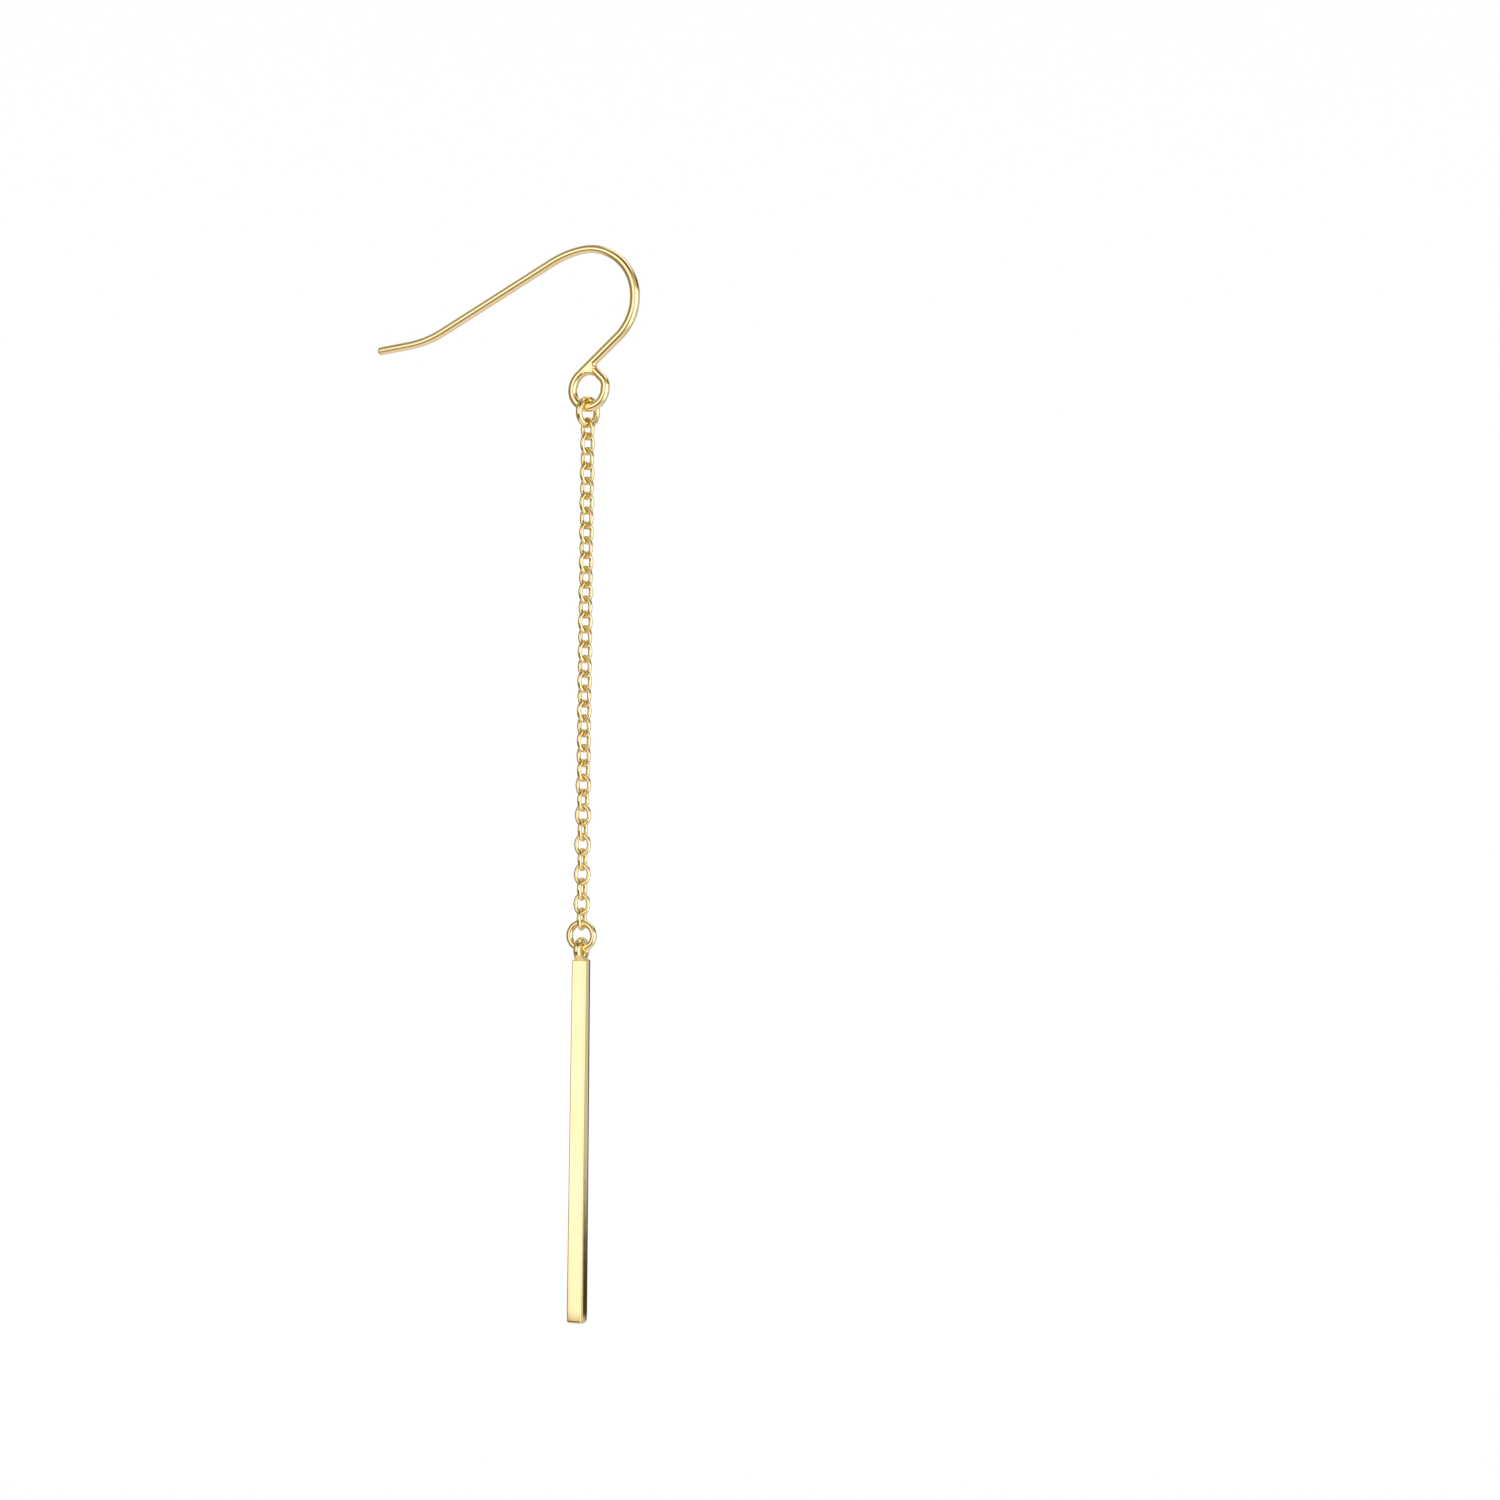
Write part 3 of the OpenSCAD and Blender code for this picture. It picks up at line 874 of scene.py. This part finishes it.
def eye_joint(s, path):
    """Solder that closes the eye: it fills the corners and is filed flat at the front and back."""
    places = [(x, 0.0, z + s.crown_wire / 2) for x, z, _, _ in path]
    headings = [heading for _, _, heading, _ in path]
    radii = [wire / 2 for _, _, _, wire in path]
    end = np.array(places[-1])
    tail = next(i for i in range(len(path) - 1, 0, -1) if math.dist(places[i], end) > STRAND_REACH)
    near = [
        i for i in range(tail) if math.dist(places[i], end) < LEG_REACH and headings[i] < -math.pi / 2
    ]
    leg = wire_field(places[near[0] : near[-1] + 1], radii[near[0] : near[-1] + 1])
    c, d = math.cos(headings[-1]), math.sin(headings[-1])
    ahead, out = np.array((c, 0.0, d)), np.array((d, 0.0, -c))
    kept = [i for i in range(tail, len(path)) if (end - places[i]) @ ahead > s.strand_stop]
    stop = end - ahead * s.strand_stop
    strand = wire_field([places[i] for i in kept] + [stop], [radii[i] for i in kept] + [radii[-1]])

    def field(p):
        a, b = leg(p), strand(p)
        onward, outward = (p - end) @ ahead, (p - end) @ out
        inner = faded(outward, OUTSIDE_FADE) * faded(onward, FAR_SIDE_FADE)
        blend = s.outer_fillet + (s.inner_fillet - s.outer_fillet) * inner
        filled = merged(a, b - s.collar, blend)
        filed = np.abs(p[..., 1]) - s.filed_depth
        slanted = s.groove_place - s.groove / 2 + s.groove_slant * np.maximum(-outward, 0.0)
        past = -onward - slanted
        solder = np.maximum(-merged(-filled, -filed, FILED_EDGE) - LAP, b - blend)
        return -merged(-solder, -past, GROOVE_EDGE)

    return skin("eye_solder", field, end - JOINT_HALF, end + JOINT_HALF)


class EARRING_OT_ear_wire(bpy.types.Operator):
    """Make the ear wire with its closed eye"""

    bl_idname = "earring.ear_wire"
    bl_label = "Ear wire"

    def execute(self, context):
        s = context.scene.earring_wire
        path = ear_wire_path(s)
        points = [(x, 0.0, z + s.crown_wire / 2) for x, z, _, _ in path]
        mesh = path_mesh("ear_wire", points, {"wire_radius": [wire / 2 for _, _, _, wire in path]})
        values = {"Sides": s.sides, "Material": material_named("polished_wire")}
        piece = grow("ear_wire", mesh, "Swept wire", values)
        settle(piece, "hanger", "ear_wire_gold", "ear_hook")
        solder = solid("eye_solder", eye_joint(s, path), "polished_solder")
        settle(solder, "hanger", "ear_wire_gold", "ear_hook")
        return {"FINISHED"}


def upright_ring(name, place, turn, seam, values):
    """A ring that hangs upright at a place, turned about the drop, with its seam turned down."""
    ring = grow(name, bpy.data.meshes.new(name), "Jump ring", values)
    upright = Matrix.Rotation(math.pi / 2, 4, "X") @ Matrix.Rotation(seam, 4, "Z")
    ring.data.transform(Matrix.Translation(place) @ Matrix.Rotation(turn, 4, "Z") @ upright)
    return ring


class EARRING_OT_jump_rings(bpy.types.Operator):
    """Make the two jump rings, each closed with a fine seam"""

    bl_idname = "earring.jump_rings"
    bl_label = "Jump rings"

    def execute(self, context):
        s = context.scene.earring_rings
        values = {
            "Radius": (s.outer - s.wire) / 2,
            "Wire": s.wire,
            "Seam depth": s.seam_depth,
            "Seam width": s.seam_width,
            "Material": material_named("polished_ring"),
        }
        upper = {**values, "Solder bead": s.bead}
        for node, name, turn, seam, given in (
            ("upper_ring", "upper_jump_ring", s.upper_turn, s.upper_seam, upper),
            ("lower_ring", "lower_jump_ring", 0.0, s.lower_seam, values),
        ):
            ring = upright_ring(name, middle(node), turn, seam, given)
            settle(ring, "hanger", "ring_gold", node)
        return {"FINISHED"}


class EARRING_OT_cable_chain(bpy.types.Operator):
    """Make the cable chain, link by link"""

    bl_idname = "earring.cable_chain"
    bl_label = "Cable chain"

    def execute(self, context):
        s = context.scene.earring_chain
        turns = []
        for i in range(len(LINKS)):
            along = i / (len(LINKS) - 1)
            twist = s.twist * eased((along - s.twist_from) / (s.twist_to - s.twist_from))
            turns.append(s.first_turn + (i % 2) * s.quarter_turn + twist)
        mesh = path_mesh("cable_chain", [middle(n) for n in LINKS], {"turn": turns}, False)
        values = {
            "Link length": s.link_length,
            "Link width": s.link_width,
            "Wire": s.wire,
            "Squareness": s.squareness,
            "Solder bead": s.bead,
            "Loose turn": s.loose_turn,
            "Seed": s.seed,
            "Material": material_named("polished_links"),
        }
        piece = grow("cable_chain", mesh, "Cable chain", values)
        settle(piece, "hanger", "chain_gold", *LINKS)
        return {"FINISHED"}


# Places across a face where the bar has points, as shares of half its width, and the steps of its
# rounded edges, of its softened lower end and of the rest of its length
FACE_POINTS = (-1.0, -0.92, -0.75, -0.5, -0.25, 0.0, 0.25, 0.5, 0.75, 0.92)
EDGE_STEPS = 6
SOFT_STEPS = 14
LONG_STEPS = 72


def square_section(half, corner, side_crown, front_crown):
    """Points round a square with rounded corners and crowned faces, anticlockwise from above."""
    points = []
    for quarter in range(4):
        crown, next_crown = (front_crown, side_crown) if quarter % 2 else (side_crown, front_crown)
        lean, next_lean = 2 * crown / half, 2 * next_crown / half
        flat = half - corner * math.cos(next_lean) + corner * math.sin(lean)
        middle_x, middle_y = half - corner * math.cos(lean), half - corner * math.cos(next_lean)
        sweep = math.pi / 2 - lean - next_lean
        row = [(half + crown * (1 - t * t), flat * t) for t in FACE_POINTS]
        for k in range(EDGE_STEPS):
            a = lean + sweep * k / EDGE_STEPS
            row.append((middle_x + corner * math.cos(a), middle_y + corner * math.sin(a)))
        points += [turned_point(x, y, quarter * math.pi / 2) for x, y in row]
    return points


def bar_sections(s, top):
    """Sections of the bar from its bottom to its top, each a list of points."""
    low, high = top - s.bar_length + s.end_round, top - s.top_round
    rows = [(low - run, inset) for run, inset in reversed(quarter_round(s.end_round, ROUND_STEPS))]
    rows += [(low + s.end_reach * k / SOFT_STEPS, 0.0) for k in range(1, SOFT_STEPS)]
    low += s.end_reach
    rows += [(low + (high - low) * k / LONG_STEPS, 0.0) for k in range(LONG_STEPS)]
    rows += [(high + run, inset) for run, inset in quarter_round(s.top_round, ROUND_STEPS)]
    made = []
    for z, inset in rows:
        along = (top - z) / s.bar_length
        turn = s.top_turn + (s.low_turn - s.top_turn) * along
        half = (s.width + (s.low_width - s.width) * along) / 2
        inset += s.end_soften * max(0.0, 1 - s.bar_length * (1 - along) / s.end_reach) ** 2
        section = square_section(half - inset, s.corner, s.side_crown, s.front_crown)
        corners = [turned_point(x, y, turn) for x, y in section]
        made.append([(DROP_X + x, y, z) for x, y in corners])
    return made


# Bends sharper than this show as edges of the bar
SHARP_BEND = math.radians(40)


def loft(name, rings):
    """A closed solid through rings of points, with flat ends."""
    count = len(rings[0])
    faces = []
    for i in range(len(rings) - 1):
        for j in range(count):
            a, b = i * count + j, i * count + (j + 1) % count
            faces.append((a, b, b + count, a + count))
    faces.append(tuple(reversed(range(count))))
    last = (len(rings) - 1) * count
    faces.append(tuple(range(last, last + count)))
    mesh = bpy.data.meshes.new(name)
    mesh.from_pydata([p for ring in rings for p in ring], [], faces)
    mesh.shade_smooth()
    mesh.set_sharp_from_angle(angle=SHARP_BEND)
    return mesh


def turned_axes(turn):
    """The axes to the side and across, turned about the drop."""
    return np.array((*turned_point(1.0, 0.0, turn), 0.0)), np.array((*turned_point(0.0, 1.0, turn), 0.0))


def ring_field(centre, turn, radius, wire):
    """Signed distance to a ring that stands upright and is turned about the drop."""
    side, across = turned_axes(turn)

    def field(p):
        away = p - np.array(centre)
        out = np.hypot(away @ side, away[..., 2]) - radius
        return np.hypot(out, away @ across) - wire / 2

    return field


def rounded(u, v, radius):
    """Signed distance to the place where two distances are below zero, with a rounded edge."""
    u, v = u + radius, v + radius
    outside = np.hypot(np.maximum(u, 0), np.maximum(v, 0))
    return outside + np.minimum(np.maximum(u, v), 0) - radius


def bar_field(s, top):
    """Signed distances to the walls and to the whole upper end of the bar."""
    side, across = turned_axes(s.top_turn)
    half = s.width / 2

    def field(p):
        away = p - np.array((DROP_X, 0.0, top))
        walls = rounded(np.abs(away @ side) - half, np.abs(away @ across) - half, s.corner)
        return walls, rounded(walls, away[..., 2], s.top_round)

    return field


# Room for the bar's solder in its box: past the bar's faces, and above and below the bar's top
FOOT_ROOM = 0.1 * MM
FOOT_HEIGHT = 0.75 * MM


def bar_foot(s, eyelet_place, top):
    """Solder between the eyelet and the bar."""
    ring_radius = (s.eyelet_outer - s.eyelet_wire) / 2
    ring = ring_field(eyelet_place, s.eyelet_turn, ring_radius, s.eyelet_wire)
    bar = bar_field(s, top)

    def field(p):
        a = ring(p)
        walls, b = bar(p)
        filled = np.maximum(merged(a, b, s.foot) - LAP, np.maximum(a, b) - s.foot)
        return -merged(-filled, -walls - s.foot_inset, FILED_EDGE)

    half = s.width / 2 + FOOT_ROOM
    low = (DROP_X - half, -half, top - FOOT_HEIGHT)
    high = (DROP_X + half, half, top + FOOT_HEIGHT)
    return skin("bar_solder", field, low, high)


class EARRING_OT_bar(bpy.types.Operator):
    """Make the square bar with its eyelet soldered on top"""

    bl_idname = "earring.bar"
    bl_label = "Bar"

    def execute(self, context):
        s = context.scene.earring_bar
        values = {
            "Radius": (s.eyelet_outer - s.eyelet_wire) / 2,
            "Wire": s.eyelet_wire,
            "Seam depth": 0.0,
            "Material": material_named("polished_ring"),
        }
        place = Vector((DROP_X, 0.0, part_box("bar")[1].z - s.eyelet_outer / 2))
        eyelet = upright_ring("eyelet", place, s.eyelet_turn, 0.0, values)
        top = place.z - s.eyelet_outer / 2 + s.eyelet_sink
        bar = solid("square_bar", loft("square_bar", bar_sections(s, top)), "polished_bar")
        solder = solid("bar_solder", bar_foot(s, place, top), "polished_solder")
        for made in (eyelet, bar, solder):
            settle(made, "bar", "bar_gold", "bar")
        return {"FINISHED"}


def soft_window_group():
    """How far a direction lies inside a soft-edged window, such as a softbox seen from the earring."""
    inputs = {name: 0.0 for name in ("Azimuth", "Elevation", "Left", "Right", "Low", "High")}
    inputs["Edge"] = 1.0
    outputs = {"Mask": "NodeSocketFloat"}
    graph, given, result = new_group("Soft window", "ShaderNodeTree", inputs, outputs)
    parts = []
    for value, low, high in (("Azimuth", "Left", "Right"), ("Elevation", "Low", "High")):
        for edge, from_share, to_share in ((low, 0.0, 1.0), (high, 1.0, 0.0)):
            before = graph.math("SUBTRACT", given[edge], given["Edge"])
            past = graph.math("ADD", given[edge], given["Edge"])
            parts.append(graph.between(given[value], before, past, from_share, to_share))
    graph.feed(result["Mask"], graph.times(*parts))
    return graph.tree


# The studio as the earring sees it: soft windows of light or shade round it. Azimuth is 0 towards the
# camera and grows to its right; all angles are in degrees. A window's light takes the place of what
# the windows before it gave. Whatever isn't mirrored sees the plain light.
PLAIN_LIGHT = (1.115, 1.115, 1.115)
AMBIENT_LIGHT = (0.545, 0.51, 0.47)
WINDOWS = (
    # name, left, right, low, high, edge, light
    ("ceiling", -400, 400, 64, 120, 8, (0.6, 0.591, 0.622)),
    ("left ceiling", -160, -28, 40, 84, 10, (0.32, 0.295, 0.232)),
    ("right ceiling", 55, 200, 44, 120, 8, (1.12, 1.13, 1.42)),
    ("table", -400, 400, -120, -44, 9, (0.82, 0.738, 0.912)),
    ("left back edge", -400, -155, -12, 12, 5, (0.125, 0.1, 0.058)),
    ("right back", 122, 152, -14, 12, 4, (0.6, 0.606, 0.724)),
    ("right back edge", 148, 400, -12, 12, 2, (0.11, 0.09, 0.058)),
    ("left wall", -128, -68, -42, 36, 10, (0.24, 0.211, 0.145)),
    ("overhead gap", -30, 44, 32, 62, 8, (0.12, 0.09, 0.043)),
    ("left frame", -62, 6, -41, 0, 5, (0.152, 0.117, 0.058)),
    ("camera side", -18, 22, -8, 18, 8, (0.72, 0.728, 0.839)),
    ("left softbox", -54, -14, -13, 31, 6, (1.26, 1.2, 1.59)),
    ("right softbox", 19, 78, -34, 16, 7, (1.5, 1.56, 2.17)),
    ("right side", 84, 122, -42, 10, 8, (0.68, 0.653, 0.666)),
    ("right gap", 70, 126, 15, 38, 7, (0.11, 0.085, 0.043)),
    ("low back", 121, 176, -9.4, -6.1, 0.9, (0.06, 0.042, 0.036)),
)


def studio_light(world, s):
    """World light: even for the floor, and a studio of softboxes for what the gold mirrors."""
    world.use_nodes = True
    world.cycles.sampling_method = "NONE"
    tree = world.node_tree
    tree.nodes.clear()
    graph = Graph(tree)
    away = graph.out("ShaderNodeTexCoord", output="Generated")
    turn = s.camera_turn
    to_camera = graph.vector_math("DOT_PRODUCT", away, (math.sin(turn), -math.cos(turn), 0.0))
    to_right = graph.vector_math("DOT_PRODUCT", away, (math.cos(turn), math.sin(turn), 0.0))
    up = graph.vector_math("DOT_PRODUCT", away, (0.0, 0.0, 1.0))
    azimuth = graph.math("DEGREES", graph.math("ARCTAN2", to_right, to_camera))
    elevation = graph.math("DEGREES", graph.math("ARCSINE", up))
    light = (*AMBIENT_LIGHT, 1.0)
    labels = ("Left", "Right", "Low", "High", "Edge")
    for _, *edges, tint in WINDOWS:
        inputs = {"Azimuth": azimuth, "Elevation": elevation, **dict(zip(labels, map(float, edges)))}
        mask = graph.group("Soft window", inputs)["Mask"]
        light = graph.mix_colour(mask, light, (*tint, 1.0))
    mirrored = graph.out("ShaderNodeLightPath", output="Is Glossy Ray")
    seen = graph.mix_colour(mirrored, (*PLAIN_LIGHT, 1.0), light)
    background = graph.out("ShaderNodeBackground", {"Color": seen})
    graph.add("ShaderNodeOutputWorld", {"Surface": background})


def backdrop(s):
    """A pale floor that curves up into a backdrop."""
    floor_z = -s.floor_drop
    near, far, half_width, height, bend, bend_steps = -1.6, 1.1, 2.5, 1.8, 0.5, 16
    profile = [(near, floor_z)]
    for run, rise in quarter_round(bend, bend_steps):
        profile.append((far - bend + run, floor_z + rise))
    profile.append((far, floor_z + height))
    verts = [(x, y, z) for y, z in profile for x in (-half_width, half_width)]
    faces = [(2 * i, 2 * i + 1, 2 * i + 3, 2 * i + 2) for i in range(len(profile) - 1)]
    mesh = bpy.data.meshes.new("backdrop")
    mesh.from_pydata(verts, [], faces)
    mesh.shade_smooth()
    mesh.transform(Matrix.Rotation(s.camera_turn, 4, "Z"))
    made = bpy.data.objects.new("backdrop", mesh)
    bpy.context.scene.collection.objects.link(made)
    made.visible_glossy = False
    paper = bpy.data.materials.new("backdrop_paper")
    paper.use_nodes = True
    shader = paper.node_tree.nodes["Principled BSDF"]
    shader.inputs["Base Color"].default_value = (s.floor_grey, s.floor_grey, s.floor_grey, 1.0)
    shader.inputs["Roughness"].default_value = 0.9
    shader.inputs["Specular IOR Level"].default_value = 0.0
    mesh.materials.append(paper)


def camera(s):
    """The camera at the photo's angle."""
    right = Vector((*turned_point(1.0, 0.0, s.camera_turn), 0.0))
    ahead = Vector((*turned_point(0.0, 1.0, s.camera_turn), 0.0))
    up = Vector((0.0, 0.0, 1.0))
    drop = Vector((DROP_X, 0.0, -s.camera_drop))
    data = bpy.data.cameras.new("camera")
    data.lens = s.focal_length
    data.clip_start, data.clip_end = 0.01, 20.0
    made = bpy.data.objects.new("camera", data)
    c, d = math.cos(s.camera_roll), math.sin(s.camera_roll)
    side = right * c + up * d
    over = up * c - right * d
    aimed = Matrix((side, over, -ahead)).transposed().to_4x4()
    place = drop - ahead * s.camera_distance + right * s.camera_offset
    made.matrix_world = Matrix.Translation(place) @ aimed
    bpy.context.scene.collection.objects.link(made)
    bpy.context.scene.camera = made


class EARRING_OT_studio(bpy.types.Operator):
    """Make the camera, the floor and backdrop, and the studio's light"""

    bl_idname = "earring.studio"
    bl_label = "Studio"

    def execute(self, context):
        s = context.scene.earring_studio
        camera(s)
        backdrop(s)
        context.scene.world = context.scene.world or bpy.data.worlds.new("studio")
        studio_light(context.scene.world, s)
        context.scene.view_settings.view_transform = "Standard"
        return {"FINISHED"}


class EARRING_PT_panel(bpy.types.Panel):
    """Lists the earring's sizes and the operators that make it"""

    bl_idname = "EARRING_PT_panel"
    bl_label = "Bar Earring"
    bl_space_type = "VIEW_3D"
    bl_region_type = "UI"
    bl_category = "Earring"

    def draw(self, context):
        for name, group in SETTINGS.items():
            box = self.layout.box()
            settings = getattr(context.scene, name)
            for prop in group.__annotations__:
                box.prop(settings, prop)
        for operator in OPERATORS:
            self.layout.operator(operator.bl_idname)


SETTINGS = {
    "earring_wire": EarWireSizes,
    "earring_rings": RingSizes,
    "earring_chain": ChainSizes,
    "earring_bar": BarSizes,
    "earring_gold": GoldFinish,
    "earring_studio": StudioSizes,
}
OPERATORS = (
    EARRING_OT_studio,
    EARRING_OT_ear_wire,
    EARRING_OT_jump_rings,
    EARRING_OT_cable_chain,
    EARRING_OT_bar,
)


def register():
    for group in SETTINGS.values():
        bpy.utils.register_class(group)
    for operator in OPERATORS:
        bpy.utils.register_class(operator)
    bpy.utils.register_class(EARRING_PT_panel)
    for name, group in SETTINGS.items():
        setattr(bpy.types.Scene, name, PointerProperty(type=group))


def unregister():
    for name in SETTINGS:
        delattr(bpy.types.Scene, name)
    bpy.utils.unregister_class(EARRING_PT_panel)
    for operator in OPERATORS:
        bpy.utils.unregister_class(operator)
    for group in SETTINGS.values():
        bpy.utils.unregister_class(group)


def main():
    """Makes the whole earring and its studio."""
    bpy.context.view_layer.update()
    register()
    for operator in OPERATORS:
        group, name = operator.bl_idname.split(".")
        getattr(getattr(bpy.ops, group), name)()


if __name__ == "__main__":
    main()
